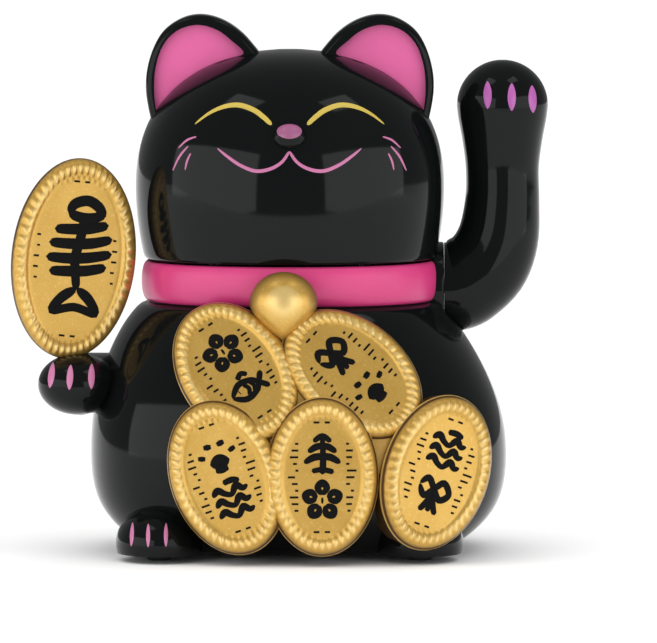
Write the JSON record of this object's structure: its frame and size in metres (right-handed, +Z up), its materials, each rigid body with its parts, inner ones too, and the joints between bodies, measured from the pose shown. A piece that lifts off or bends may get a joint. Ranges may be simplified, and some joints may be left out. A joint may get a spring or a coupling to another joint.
{
  "type": "beckoning cat figurine",
  "caption": "Seated black beckoning cat with a pink collar, gold coins on its belly and in one paw, and a raised arm that swings to and fro beside its head.",
  "frame": {"origin": "on the floor, under the middle of the outline's width and depth", "axes": "+Z up, the cat faces -Y, its waving arm is on the +X side"},
  "size_m": [0.0856, 0.0616, 0.0857],
  "materials": {
    "black_shell": "gloss black moulding",
    "pink_collar": "gloss pink",
    "gold": "gold-lacquered moulding with scalloped rims",
    "natural_plastic": "unpainted moulding",
    "steel": "bright turned steel",
    "magnet": "nickel-plated magnet",
    "copper": "enamelled copper wire",
    "board": "bare laminate",
    "resin": "black resin",
    "rubber": "soft matt pad",
    "cell": "dark thin-film cell",
    "window": "clear flat window",
    "lead_red": "red insulation",
    "lead_black": "black insulation"
  },
  "bodies": {
    "body": {"body_front_shell": "black_shell", "body_rear_shell": "black_shell", "head_front_shell": "black_shell", "head_rear_shell": "black_shell", "collar_band": "pink_collar", "coin_plaque": "gold", "held_coin": "gold", "coin_arm": "black_shell", "swing_frame": "natural_plastic", "circuit_board": "board", "coil_bobbin": "natural_plastic", "coil_winding": "copper", "storage_capacitor": "resin", "driver_chip": "resin", "solar_cell": "cell", "cell_window": "window", "cell_lead_red": "lead_red", "cell_lead_black": "lead_black", "base_cover": "black_shell", "foot_pad_front_left": "rubber", "cover_screw_front_left": "steel", "foot_pad_rear_left": "rubber", "cover_screw_rear_left": "steel", "foot_pad_front_right": "rubber", "cover_screw_front_right": "steel", "foot_pad_rear_right": "rubber", "cover_screw_rear_right": "steel", "frame_screw_left": "steel", "frame_screw_right": "steel", "board_screw_front": "steel", "board_screw_rear": "steel"},
    "arm": {"waving_arm_front": "black_shell", "waving_arm_rear": "black_shell", "pivot_shaft": "steel", "shaft_clip": "steel", "pendulum_lever": "natural_plastic", "drive_magnet": "magnet", "pendulum_weight": "steel"}
  },
  "joints": [
    {"name": "arm_swing", "type": "hinge", "parent": "body", "child": "arm", "pos_m": [0.02663, 0.00391, 0.0419], "axis": [1, 0, 0], "range_deg": [-25, 25]}
  ]
}
